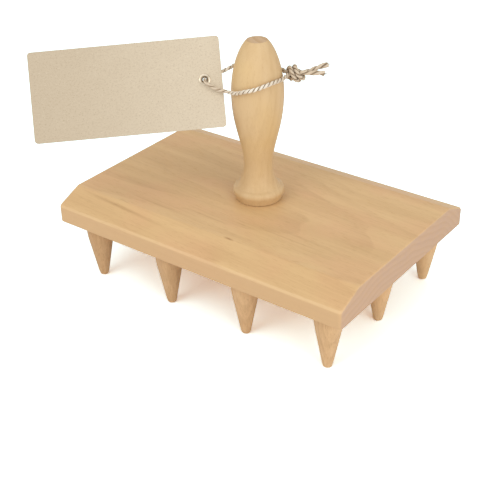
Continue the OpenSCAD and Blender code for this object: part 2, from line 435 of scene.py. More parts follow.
@dataclass(frozen=True)
class KraftCard:
    """Thick card with a linen press and the flecks of recycled pulp."""

    name: str = "kraft_card"
    warm: Colour = tone(196, 180, 155)
    faint: Colour = tone(213, 199, 175)
    fleck: Colour = tone(152, 129, 101)
    light: Colour = tone(236, 225, 206)
    # Where along the card its tone goes from warm to lighter
    warm_to_faint: Pair = mm(-112, 30)
    thread: float = 0.62 * MM
    thread_raised: float = 0.25
    # Marks sized along the card and across it
    clouds: Marks = Marks((20 * MM, 14 * MM, 1), 1.0, share=0.3)
    pulp: Marks = Marks((1.5 * MM, 1.1 * MM, 1), 3.0, raised=0.6)
    specks: Marks = Marks((0.8 * MM, 0.5 * MM, 1), 0.0, (0.7, 0.76), 0.45)
    hairs: Marks = Marks((2.6 * MM, 0.3 * MM, 1), 1.0, (0.68, 0.75), 0.4, 0.2)
    cross_hairs: Marks = Marks((0.3 * MM, 2.4 * MM, 1), 1.0, (0.68, 0.75))

    def material(self) -> Material:
        """Make the card's material, laid out on the piece's own flat map.

        Returns:
            The material, with its press, pulp, flecks and hairs.
        """
        made = Shader(bpy.data.materials.new(self.name))
        flat = made.place("UV")
        pulp, hairs = made.marks(flat, self.pulp), made.marks(flat, self.hairs)
        specks, cross_hairs = made.marks(flat, self.specks), made.marks(flat, self.cross_hairs)
        clouds = (made.marks(flat, self.clouds) - 0.5) * self.clouds.share
        weave = FULL_TURN / self.thread
        threads = (flat[0] * weave).wave() * (flat[1] * weave).wave()
        # The card is drawn lighter towards its eyelet end
        ground = made.mix(flat[0].rise(*self.warm_to_faint) + clouds, self.warm, self.faint)
        ground = made.mix((0.5 - pulp) * self.pulp.share, ground, self.fleck)
        ground = made.mix((hairs + cross_hairs) * self.hairs.share, ground, self.light)
        ground = made.mix(specks * self.specks.share, ground, self.fleck)
        height = threads * self.thread_raised + pulp * self.pulp.raised
        return made.surface(
            {
                "Base Color": ground,
                "Roughness": 0.72 + (pulp - 0.5) * 0.3,
                "Specular IOR Level": 0.25,
                "Normal": made.bump(height + hairs * self.hairs.raised, 0.08 * MM, 0.5),
            }
        )


@dataclass(frozen=True)
class PlantFibre:
    """Bleached jute: pale fibres with brown ones among them."""

    name: str = "jute_twine"
    pale: Colour = tone(250, 243, 228)
    straw: Colour = tone(226, 211, 187)
    grey: Colour = tone(208, 189, 163)
    brown: Colour = tone(140, 114, 84)
    # Where the paler stretch begins and ends along the twine
    pale_from: Pair = mm(98, 112)
    pale_to: Pair = mm(185, 205)
    # Where the twine is drawn greyer, at the eyelet, and how far that reaches
    greyer_at: float = 148 * MM
    greyer_reach: Pair = mm(6, 14)
    grey_share: float = 0.8
    # Painted shade in the crevice between the plies: where it sets in round each ply, and how dark
    # it gets
    crevice_shade: Pair = (0.1, -0.45)
    crevice_shade_share: float = 0.66
    # Marks sized on a circle round the ply, and along it
    strands: Marks = Marks((1 / 3.2, 1 / 3.2, 5 * MM), share=1.9, roughness=0.6)
    lengths: Marks = Marks((1 / 0.6, 1 / 0.6, 7 * MM), 1.0, (0.36, 0.64))

    def material(self) -> Material:
        """Make the twine's material, laid out round and along each ply.

        Returns:
            The material, with its strands, a paler stretch either side of the eyelet, and a greyer
            place where the eyelet holds it.
        """
        made = Shader(bpy.data.materials.new(self.name))
        round_ply, down_ply, _ = made.place("UV")
        outward = (round_ply * FULL_TURN + math.pi / 2).wave()
        axes = ((round_ply * FULL_TURN).wave(), outward, down_ply)
        strands = made.marks(axes, self.strands)
        # The twine is drawn paler along a stretch either side of the eyelet, and greyer elsewhere
        paler_stretch = down_ply.rise(*self.pale_from) * (1 - down_ply.rise(*self.pale_to))
        # The twine is drawn greyer round the place where the eyelet holds it
        greyer_near_eyelet = 1 - abs(down_ply - self.greyer_at).rise(*self.greyer_reach)
        shade = made.mix(made.marks(axes, self.lengths), self.straw, self.pale)
        shade = made.mix((1 - paler_stretch).larger(greyer_near_eyelet) * self.grey_share, shade, self.grey)
        shade = made.mix((0.5 - strands) * self.strands.share, shade, self.brown)
        # Painted shade: the inner side of each ply, where the two plies meet, is darkened
        shade = made.mix(outward.rise(*self.crevice_shade) * self.crevice_shade_share, shade, self.brown)
        return made.surface(
            {
                "Base Color": shade,
                "Roughness": 0.85,
                "Specular IOR Level": 0.2,
                "Sheen Weight": 0.25,
                "Sheen Roughness": 0.4,
                "Normal": made.bump(strands, 0.2 * MM, 0.8),
            }
        )


@dataclass(frozen=True)
class Metal:
    """Bare metal with a little wear, and painted shade round its throat where it has one."""

    name: str
    bright: Colour
    dull: Colour
    roughness: float
    throat: Pair | None = None
    # Painted shade in the throat: its tone, and how far it darkens the metal
    throat_shade: Colour = tone(112, 92, 68)
    throat_shade_share: float = 0.9
    rubs: Marks = Marks(mm(0.4, 0.4, 0.2), 3.0, share=0.3)
    clouds: Marks = Marks(mm(3, 3, 3), step=(0.3, 0.7))

    def material(self) -> Material:
        """Make the metal's material.

        Returns:
            The material, cloudy and marked with rubs.
        """
        made = Shader(bpy.data.materials.new(self.name))
        place = made.place()
        rubs = made.marks(place, self.rubs)
        colour = made.mix(made.marks(place, self.clouds), self.dull, self.bright)
        # Painted shade: the metal within the throat is darkened, where the bore lies in shade
        if self.throat:
            shaded_throat = 1 - made.place("UV")[0].rise(*self.throat)
            colour = made.mix(shaded_throat * self.throat_shade_share, colour, self.throat_shade)
        return made.surface(
            {
                "Base Color": colour,
                "Metallic": 1.0,
                "Roughness": self.roughness + (rubs - 0.5) * self.rubs.share,
                "Normal": made.bump(rubs, 0.02 * MM, 0.4),
            }
        )


# Meshes


def to_mesh(shape: Shape, name: str) -> bpy.types.Mesh:
    """Turn a shape, which is used up, into a mesh.

    Args:
        shape: The shape.
        name: The mesh's name.

    Returns:
        The mesh.
    """
    mesh = bpy.data.meshes.new(name)
    shape.to_mesh(mesh)
    shape.free()
    return mesh


def to_scene(name: str, data: bpy.types.ID) -> Piece:
    """Put a new object into the scene.

    Args:
        name: The object's name.
        data: Its mesh, lamp or camera.

    Returns:
        The object.
    """
    made = bpy.data.objects.new(name, data)
    bpy.context.scene.collection.objects.link(made)
    return made


def publish(
    shape: Shape,
    name: str,
    finish: Material,
    body: Body,
    slot: Slot,
    *stands_for: str,
    crease: float = CREASE,
) -> Piece:
    """Make a piece of a finished shape, and tie it to the frame.

    Args:
        shape: The shape, in place. It is used up.
        name: The piece's name.
        finish: Its material.
        body: The body that it rides on.
        slot: The record's slot that its finish goes with. It is not used.
        stands_for: The CAD nodes that it replaces.
        crease: Edges sharper than this angle stay sharp.

    Returns:
        The new object.
    """
    mesh = to_mesh(shape, name)
    mesh.materials.append(finish)
    mesh.shade_smooth()
    mesh.set_sharp_from_angle(angle=crease)
    piece = to_scene(name, mesh)
    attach(piece, body.value)
    if stands_for:
        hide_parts(*stands_for)
    LOG.info("%s: %d faces", name, len(mesh.polygons))
    return piece


def spin_outline(outline: Sequence[Pair], steps: int, base: float = 0.0) -> Shape:
    """Turn an outline about the Z axis.

    Args:
        outline: Its points, as radius and height, along the surface.
        steps: How many pieces the full turn has.
        base: The height that the outline starts from.

    Returns:
        The closed shape.
    """
    shape = bmesh.new()
    points = [shape.verts.new((radius, 0, height)) for radius, height in outline]
    edges = [shape.edges.new(pair) for pair in zip(points, points[1:])]
    bmesh.ops.spin(
        shape,
        geom=points + edges,
        cent=(0, 0, 0),
        axis=UP,
        angle=FULL_TURN,
        steps=steps,
        use_merge=True,
        use_duplicate=False,
    )
    bmesh.ops.remove_doubles(shape, verts=shape.verts, dist=MM / 10000)
    bmesh.ops.recalc_face_normals(shape, faces=shape.faces)
    bmesh.ops.translate(shape, vec=UP * base, verts=shape.verts)
    return shape


def extrude(shape: Shape, reach: Vector) -> None:
    """Give a flat shape its depth.

    Args:
        shape: The shape.
        reach: How far and which way its faces are drawn out.
    """
    grown = bmesh.ops.extrude_face_region(shape, geom=list(shape.faces))["geom"]
    moved = [item for item in grown if isinstance(item, bmesh.types.BMVert)]
    bmesh.ops.translate(shape, vec=reach, verts=moved)
    bmesh.ops.recalc_face_normals(shape, faces=shape.faces)


def paint(shape: Shape, value: Callable[[Vector], Pair]) -> None:
    """Give a shape its own map, worked out from the place of each corner.

    Args:
        shape: The shape.
        value: Turns a place into the two values of the map.
    """
    layer = shape.loops.layers.uv.new("map")
    for face in shape.faces:
        for loop in face.loops:
            loop[layer].uv = value(loop.vert.co)


def skin(
    shape: Shape, rings: Sequence[Sequence[bmesh.types.BMVert]]
) -> list[bmesh.types.BMFace]:
    """Join rings of points one to the next, and close both ends.

    Args:
        shape: The shape that they are in.
        rings: The rings, with as many points each.

    Returns:
        The faces between the rings, ring by ring.
    """
    sides = []
    for first, second in zip(rings, rings[1:]):
        for k in range(len(first)):
            after = (k + 1) % len(first)
            sides.append(shape.faces.new((first[k], first[after], second[after], second[k])))
    for ring in (rings[0], rings[-1]):
        shape.faces.new(ring)
    return sides


def carve(shape: Shape, cutter: Shape) -> Shape:
    """Cut one shape out of another.

    Args:
        shape: The shape that is cut. It is used up.
        cutter: What is taken away. It is used up.

    Returns:
        The cut shape.
    """
    blank, tool = (to_scene("carving", to_mesh(part, "carving")) for part in (shape, cutter))
    cut = blank.modifiers.new("cut", "BOOLEAN")
    cut.operation = "DIFFERENCE"
    cut.solver = "EXACT"
    cut.object = tool
    bpy.context.view_layer.update()
    ready = blank.evaluated_get(bpy.context.evaluated_depsgraph_get())
    result = bmesh.new()
    result.from_mesh(ready.to_mesh())
    ready.to_mesh_clear()
    for mesh in (blank.data, tool.data):
        bpy.data.meshes.remove(mesh)
    return result


def merge(shape: Shape, extra: Shape) -> None:
    """Add one shape to another.

    Args:
        shape: The shape that grows.
        extra: The shape that is added. It is used up.
    """
    mesh = to_mesh(extra, "extra")
    shape.from_mesh(mesh)
    bpy.data.meshes.remove(mesh)


@dataclass
class Board:
    """The bevelled board that carries the handle and the pegs."""

    length: float = 230.8 * MM
    width: float = 155.8 * MM
    thickness: float = 20.6 * MM
    edge: float = 12.5 * MM
    bevel: float = 19.5 * MM
    arris: float = 0.8 * MM
    worn_arris: float = 1.7 * MM
    arris_steps: int = 4
    corner: float = 2.6 * MM
    corner_steps: int = 5
    # How many degrees an edge turns by, at least, to be rounded by wear or to be an arris
    worn_angle: float = 40
    arris_angle: float = 21
    flat_frame: float = 0.25 * MM
    flat_area: float = (10 * MM) ** 2
    underside: float = PEG_LENGTH
    finish: SoftWood = SoftWood(
        name="board_timber",
        grain=Grain.ALONG_X,
        heart=mm(-12, -64),
        pale=tone(220, 184, 133),
        tan=tone(212, 175, 125),
        deep=tone(168, 124, 80),
        end=tone(198, 166, 141),
        warm=tone(218, 174, 128),
        upright_tone=tone(209, 172, 128),
        slope=0.055,
        taper=0.05,
        ring_pitch=4.3 * MM,
        year_lines=0.5,
        figure=0.42,
        streaks=(
            Streak(*mm(-72, -64.6, 44, 1.5), -0.4),
            Streak(*mm(-70, -67.6, 42, 1.6), 0.4),
            Streak(*mm(-50, -52, 50, 1.2), 0.2),
            Streak(*mm(18, -57, 5.5, 1.2), 0.9),
            Streak(*mm(50, -34, 34, 1.3), 0.25),
            Streak(*mm(62, -28, 30, 1.6), 0.18),
            Streak(*mm(-10, -44, 30, 1.1), 0.22),
        ),
    )

    @property
    def top(self) -> float:
        """Height of the board's flat top."""
        return self.underside + self.thickness

    def build(self, cutter: Shape) -> Piece:
        """Build the board.

        Args:
            cutter: The holes for the tenons and the screw. It is used up.

        Returns:
            The finished piece.
        """
        shape = self._plank()
        self._soften(shape)
        self._hold_flats(shape)
        shape = carve(shape, cutter)
        finish = self.finish.material()
        return publish(shape, "planed_board", finish, Body.BASE, Slot.BOARD, "board")

    def _plank(self) -> Shape:
        """Draw the board's section out to its length.

        Returns:
            The sharp-edged plank.
        """
        half, low = self.width / 2, self.underside
        section = (
            (-half, low),
            (half, low),
            (half, low + self.edge),
            (half - self.bevel, self.top),
            (self.bevel - half, self.top),
            (-half, low + self.edge),
        )
        shape = bmesh.new()
        shape.faces.new([shape.verts.new((-self.length / 2, y, z)) for y, z in section])
        extrude(shape, Vector((self.length, 0, 0)))
        return shape

    def _soften(self, shape: Shape) -> None:
        """Round the upright corners, the top edges of the ends that wear has rounded, then every
        arris.

        Args:
            shape: The sharp-edged plank.
        """
        slack = MM / 100
        end, brow = self.length / 2 - self.corner - slack, self.underside + self.edge - slack
        corners = [e for e in shape.edges if e.verts[0].co.xy == e.verts[1].co.xy]
        self._round(shape, corners, self.corner, self.corner_steps)
        worn_and_highlit = [
            edge
            for edge in self._sharper(shape, self.worn_angle)
            if all(abs(vert.co.x) > end and vert.co.z > brow for vert in edge.verts)
        ]
        self._round(shape, worn_and_highlit, self.worn_arris, self.corner_steps)
        sharp = self._sharper(shape, self.arris_angle)
        self._round(shape, sharp, self.arris, self.arris_steps)

    @staticmethod
    def _sharper(shape: Shape, angle: float) -> list[bmesh.types.BMEdge]:
        """The edges of a shape that turn by more than an angle in degrees."""
        return [e for e in shape.edges if e.calc_face_angle(0.0) > math.radians(angle)]

    @staticmethod
    def _round(shape: Shape, edges: list[bmesh.types.BMEdge], radius: float, steps: int) -> None:
        """Round some edges of a shape.

        Args:
            shape: The shape.
            edges: The edges.
            radius: How far the rounding reaches.
            steps: How many pieces it is cut into.
        """
        bmesh.ops.bevel(
            shape,
            geom=edges,
            offset=radius,
            offset_type="OFFSET",
            affect="EDGES",
            segments=steps,
            profile=0.5,
            material=-1,
            clamp_overlap=True,
        )

    def _hold_flats(self, shape: Shape) -> None:
        """Frame each flat face closely, so that it shades flat up to its arris."""
        flats = [face for face in shape.faces if face.calc_area() > self.flat_area]
        bmesh.ops.inset_individual(shape, faces=flats, thickness=self.flat_frame, depth=0.0)


@dataclass
class Pegs:
    """Twelve turned pegs, glued into the board by their tenons."""

    columns: int = 4
    rows: tuple[str, ...] = ("front", "middle", "back")
    pitch: Pair = mm(63.5, 62.5)
    shift: Pair = mm(1.5, 1.0)
    length: float = PEG_LENGTH
    radius: float = 9.4 * MM
    tip_radius: float = 3.1 * MM
    tip_round: float = 1.0 * MM
    tip_steps: int = 6
    tip_inner: float = 0.4
    cone: float = 29 * MM
    cone_steps: int = 12
    fade: float = 38 * MM
    fade_pull: float = 3 * MM
    fade_steps: int = 8
    shoulder: float = 0.3 * MM
    tenon: float = 6 * MM
    tenon_length: float = 10 * MM
    chamfer: float = 1 * MM
    hole_below: float = 1 * MM
    steps: int = 56
    finish: SoftWood = SoftWood(
        name="peg_timber",
        grain=Grain.UP_Z,
        heart=mm(-21, 37),
        pale=tone(232, 197, 150),
        tan=tone(224, 187, 139),
        deep=tone(166, 123, 80),
        end=tone(206, 172, 134),
        warm=tone(228, 186, 137),
        ring_pitch=3.1 * MM,
        tone_and_shade_per_piece=True,
    )
    # How much darker each peg is drawn, from the left, row by row from the front: a tone of each
    # peg's own, and painted shade on the pegs that get less light
    peg_tone_and_shade: tuple[float, ...] = (
        0.44, 0.4, 0.24, 0.24,
        0.3, 0.22, 0.34, 0.02,
        0.2, 0.36, 0.26, 0.0,
    )

    def places(self) -> dict[str, Vector]:
        """Find where each peg stands.

        Returns:
            The places of the pegs' tips, by the names of their nodes.
        """
        found = {}
        for row, row_name in enumerate(self.rows):
            for column in range(self.columns):
                x = self.shift[0] + (column - (self.columns - 1) / 2) * self.pitch[0]
                y = self.shift[1] + (row - (len(self.rows) - 1) / 2) * self.pitch[1]
                found[f"peg_{row_name}_{column + 1}"] = Vector((x, y, 0))
        return found

    def outline(self) -> list[Pair]:
        """Draw half the outline of a peg.

        Returns:
            The points from its tip to the end of its tenon.
        """
        slope = (self.radius - self.tip_radius) / (self.cone + self.fade) * 2
        cone_top = self.tip_radius + slope * self.cone
        tip, pull, tenon_top = self.tip_round, self.fade_pull, self.length + self.tenon_length
        climb = [tip + (self.cone - tip) * i / self.cone_steps for i in range(self.cone_steps)]
        return [
            (0, 0),
            (self.tip_radius * self.tip_inner, 0),
            *arc((self.tip_radius - tip, tip), tip, -90, 0, self.tip_steps),
            *[(self.tip_radius + slope * z, z) for z in climb[1:]],
            *bezier(
                (cone_top, self.cone),
                (cone_top + slope * pull, self.cone + pull),
                (self.radius, self.fade - pull),
                (self.radius, self.fade),
                self.fade_steps,
            ),
            (self.radius, self.length - self.shoulder),
            (self.radius - self.shoulder, self.length),
            (self.tenon, self.length),
            (self.tenon, tenon_top - self.chamfer),
            (self.tenon - self.chamfer, tenon_top),
            (0, tenon_top),
        ]

    def holes(self) -> Shape:
        """Make what the tenons take out of the board.

        Returns:
            The blind holes, with room for the glue.
        """
        holes = bmesh.new()
        depth = self.tenon_length + self.hole_below + GLUE * 2
        middle = UP * (self.length - self.hole_below + depth / 2)
        for place in self.places().values():
            bmesh.ops.create_cone(
                holes,
                cap_ends=True,
                segments=self.steps,
                radius1=self.tenon + GLUE,
                radius2=self.tenon + GLUE,
                depth=depth,
                matrix=Matrix.Translation(place + middle),
            )
        return holes

    def build(self) -> list[Piece]:
        """Build the pegs.

        Returns:
            The finished pieces.
        """
        timber = self.finish.material()
        pieces = []
        for (name, place), shade in zip(self.places().items(), self.peg_tone_and_shade):
            shape = spin_outline(self.outline(), self.steps)
            paint(shape, lambda corner, shade=shade: (shade, 0))
            bmesh.ops.translate(shape, vec=place, verts=shape.verts)
            pieces.append(publish(shape, f"turned_{name}", timber, Body.BASE, Slot.PEG, name))
        return pieces


@dataclass
class Handle:
    """The turned handle: conical foot, bead, cove, neck, grip and crown."""

    base: float
    height: float = 111.5 * MM
    foot: float = 15.6 * MM
    foot_lip: Pair = mm(0.05, 0.1)
    groove: Pair = mm(0.8, 0.35)
    bead: float = 3.4 * MM
    bead_height: float = 6.2 * MM
    bead_end: float = 72
    reach: float = 17.6 * MM
    neck: Pair = mm(9.75, 25)
    grip: Pair = mm(17.3, 76)
    top: float = 6.9 * MM
    top_arris: float = 0.6 * MM
    steps: int = 96
    curve_steps: tuple[int, int] = (16, 26)
    # The curves' handles: out of the bead, into the neck, along the grip, and over the crown
    cove_start: float = 0.4 * MM
    cove_out: Pair = mm(2.6, 5.1)
    cove_in: Pair = mm(0.1, 6.5)
    grip_pull: Pair = (0.31, 0.47)
    crown_out: float = 14 * MM
    crown_in: Pair = mm(6.2, 6.4)
    finish: SoftWood = SoftWood(
        name="handle_timber",
        grain=Grain.UP_Z,
        heart=mm(38, 46),
        pale=tone(217, 187, 142),
        tan=tone(208, 176, 129),
        deep=tone(182, 142, 94),
        end=tone(200, 168, 133),
        warm=tone(219, 186, 130),
        slope=0.03,
        taper=0.16,
        ring_pitch=5.2 * MM,
        year_lines=0.36,
        figure=0.36,
        painted_shade_below=mm(85, 125),
        end_from=(0.92, 0.995),
        end_rings=0.5,
    )

    def outline(self) -> list[Pair]:
        """Draw half the outline of the handle.

        Returns:
            The points from its foot to its top.
        """
        bead = (self.reach - self.bead, self.bead_height)
        neck, grip, top = self.neck, self.grip, (self.top, self.height)
        climb = grip[1] - neck[1]
        below = (self.foot - bead[0], -bead[1])
        touch = math.atan2(below[1], below[0]) + math.acos(self.bead / math.hypot(*below))
        short, long = self.curve_steps
        return [
            (0, 0),
            (self.foot - self.groove[0], 0),
            (self.foot - self.groove[0], self.groove[1]),
            (self.foot + self.foot_lip[0], self.groove[1] + self.foot_lip[1]),
            *arc(bead, self.bead, math.degrees(touch), self.bead_end, short),
            *bezier(
                (bead[0] + self.cove_start, bead[1] + self.bead),
                (neck[0] + self.cove_out[0], bead[1] + self.cove_out[1]),
                (neck[0] + self.cove_in[0], neck[1] - self.cove_in[1]),
                neck,
                short,
            ),
            *bezier(
                neck,
                (neck[0], neck[1] + self.grip_pull[0] * climb),
                (grip[0], grip[1] - self.grip_pull[1] * climb),
                grip,
                long,
            )[1:],
            *bezier(
                grip,
                (grip[0], grip[1] + self.crown_out),
                (top[0] + self.crown_in[0], top[1] - self.crown_in[1]),
                top,
                long,
            )[1:],
            (top[0] - self.top_arris, top[1]),
            (0, self.height),
        ]

    def build(self, cutter: Shape) -> Piece:
        """Build the handle.

        Args:
            cutter: The hole for the screw. It is used up.

        Returns:
            The finished piece.
        """
        shape = carve(spin_outline(self.outline(), self.steps, self.base), cutter)
        finish = self.finish.material()
        return publish(shape, "turned_handle", finish, Body.BASE, Slot.HANDLE, "handle")


@dataclass
class Screw:
    """The countersunk screw that holds the handle from beneath."""

    base: float
    shank: float = 2.5 * MM
    head: float = 4.8 * MM
    head_edge: float = 0.4 * MM
    length: float = 50 * MM
    point: float = 5 * MM
    recess: Pair = mm(3.7, 2.2)
    recess_length: float = 4 * MM
    recess_height: float = 0.4 * MM
    recess_flat: float = 0.26
    steps: int = 48
    finish: Metal = Metal("zinc_steel", tone(196, 196, 194), tone(160, 160, 160), 0.34)

    def _turned(self, gap: float) -> Shape:
        """Turn the screw without its recess.

        Args:
            gap: How far it is grown all round.

        Returns:
            The shape, head down, in its place.
        """
        shank, head = self.shank + gap, self.head + gap
        outline = [
            (0, -gap),
            (head, -gap),
            (head, self.head_edge),
            (shank, self.head_edge + head - shank),
            (shank, self.length - self.point),
            (0, self.length + gap),
        ]
        return spin_outline(outline, self.steps, self.base)

    def hole(self) -> Shape:
        """What the screw takes out of the board and the handle."""
        return self._turned(GLUE)

    def build(self) -> Piece:
        """Build the screw with its cross recess.

        Returns:
            The finished piece.
        """
        shape = self._turned(0.0)
        for turn in (0, math.pi / 2):
            slot = bmesh.new()
            bmesh.ops.create_cone(
                slot,
                cap_ends=True,
                segments=4,
                radius1=self.recess[0],
                radius2=self.recess[1],
                depth=self.recess_length,
                matrix=Matrix.Translation(UP * (self.base + self.recess_height))
                @ Matrix.Rotation(turn, 4, "Z")
                @ Matrix.Diagonal((1, self.recess_flat, 1, 1))
                @ Matrix.Rotation(math.pi / 4, 4, "Z"),
            )
            shape = carve(shape, slot)
        finish = self.finish.material()
        return publish(
            shape, "countersunk_screw", finish, Body.BASE, Slot.SCREW, "handle_screw"
        )


@dataclass
class SwingTag:
    """The card with its eyelet, hanging on the twine."""

    eyelet_at: Vector
    length: float = 123.7 * MM
    width: float = 59 * MM
    thickness: float = 0.6 * MM
    corner: float = 2.3 * MM
    corner_steps: int = 8
    eyelet_in: float = 11.4 * MM
    eyelet_up: float = 1.9 * MM
    bore: float = 2.1 * MM
    flange: float = 3.85 * MM
    barrel_wall: float = 0.4 * MM
    lip: float = 0.78 * MM
    dome: float = 0.4 * MM
    dome_steps: int = 12
    steps: int = 48
    heading: float = math.radians(36.7)
    lean: float = math.radians(58.9)
    roll: float = math.radians(4.3)
    card_finish: KraftCard = KraftCard()
    eyelet_finish: Metal = Metal(
        "eyelet_alloy", tone(220, 207, 186), tone(186, 172, 150), 0.38, throat=mm(2.2, 2.6)
    )

    @property
    def place(self) -> Matrix:
        """Find where the tag hangs.

        Returns:
            What moves a shape drawn round the eyelet, card flat, to its place.
        """
        return (
            Matrix.Translation(self.eyelet_at)
            @ Matrix.Rotation(self.heading, 4, "Z")
            @ Matrix.Rotation(self.lean, 4, "X")
            @ Matrix.Rotation(self.roll, 4, "Z")
        )

    def build(self) -> list[Piece]:
        """Build the card and the eyelet."""
        return [self._card(), self._eyelet()]

    def _card(self) -> Piece:
        """Make the card: a rounded outline with a round hole, given its thickness.

        Returns:
            The finished piece.
        """
        shape = bmesh.new()
        middle = Vector((self.eyelet_in - self.length / 2, -self.eyelet_up, 0))
        inner = Vector((self.length / 2 - self.corner, self.width / 2 - self.corner))
        rim = []
        for quarter, (side_x, side_y) in enumerate(((1, 1), (-1, 1), (-1, -1), (1, -1))):
            centre = (middle.x + side_x * inner.x, middle.y + side_y * inner.y)
            start = 90 * quarter
            rim += arc(centre, self.corner, start, start + 90, self.corner_steps)
        hole = arc((0, 0), self.bore + self.barrel_wall, 0, 360, self.steps)[:-1]
        edges = []
        for loop in (rim, hole):
            points = [shape.verts.new((x, y, -self.thickness / 2)) for x, y in loop]
            edges += [shape.edges.new(pair) for pair in zip(points, points[1:] + points[:1])]
        bmesh.ops.triangle_fill(shape, edges=edges, use_beauty=True)
        extrude(shape, UP * self.thickness)
        paint(shape, lambda corner: corner.xy)
        bmesh.ops.transform(shape, matrix=self.place, verts=shape.verts)
        finish = self.card_finish.material()
        return publish(shape, "kraft_tag", finish, Body.TAG, Slot.CARD, "tag_card")

    def _eyelet(self) -> Piece:
        """Make the eyelet: a domed flange on each face, joined by its barrel.

        Returns:
            The finished piece.
        """
        bore, barrel = self.bore - self.lip, self.bore + self.barrel_wall
        middle, half = (self.flange + bore) / 2, (self.flange - bore) / 2
        side, dome = self.thickness / 2, [i / self.dome_steps for i in range(self.dome_steps + 1)]
        outline = []
        for sign, start in ((1, 0), (-1, 180)):
            outline += [
                (middle + half * math.cos(a), sign * side + self.dome * math.sin(a))
                for a in (math.radians(start + 180 * share) for share in dome)
            ]
        outline += [(barrel, -side), (barrel, side), outline[0]]
        shape = spin_outline(outline, self.steps)
        paint(shape, lambda corner: (corner.xy.length, corner.z))
        bmesh.ops.transform(shape, matrix=self.place, verts=shape.verts)
        finish = self.eyelet_finish.material()
        return publish(shape, "rolled_eyelet", finish, Body.TAG, Slot.EYELET, "tag_eyelet")


class Ring(NamedTuple):
    """One ring of the twine: its centre, directions and twist."""

    centre: Vector
    ahead: Vector
    up: Vector
    side: Vector
    travelled: float
    turn: float
    opened: float
    size: float

    def out(self, angle: float) -> Vector:
        """The direction out of the twine at an angle round it."""
        return self.up * math.cos(angle) + self.side * math.sin(angle)


@dataclass
class Hair:
    """One loose fibre, which leaves the twine and tapers to a point."""

    root: Vector
    ahead: Vector
    out: Vector
    side: Vector
    reach: float
    lift: float
    bend: float
    steps: int = 4
    corners: int = 3
    thickness: Pair = mm(0.045, 0.012)

    def sweep(self, shape: Shape) -> None:
        """Add the fibre to a shape.

        Args:
            shape: The shape that grows.
        """
        rings = []
        angles = [FULL_TURN * k / self.corners for k in range(self.corners)]
        for t in (step / self.steps for step in range(self.steps + 1)):
            course = self.ahead * t + self.out * (self.lift * t) + self.side * (self.bend * t * t)
            middle = self.root + self.reach * course
            size = self.thickness[0] * (1 - t) + self.thickness[1]
            arms = [self.out * math.cos(a) + self.side * math.sin(a) for a in angles]
            rings.append([shape.verts.new(middle + arm * size) for arm in arms])
        skin(shape, rings)


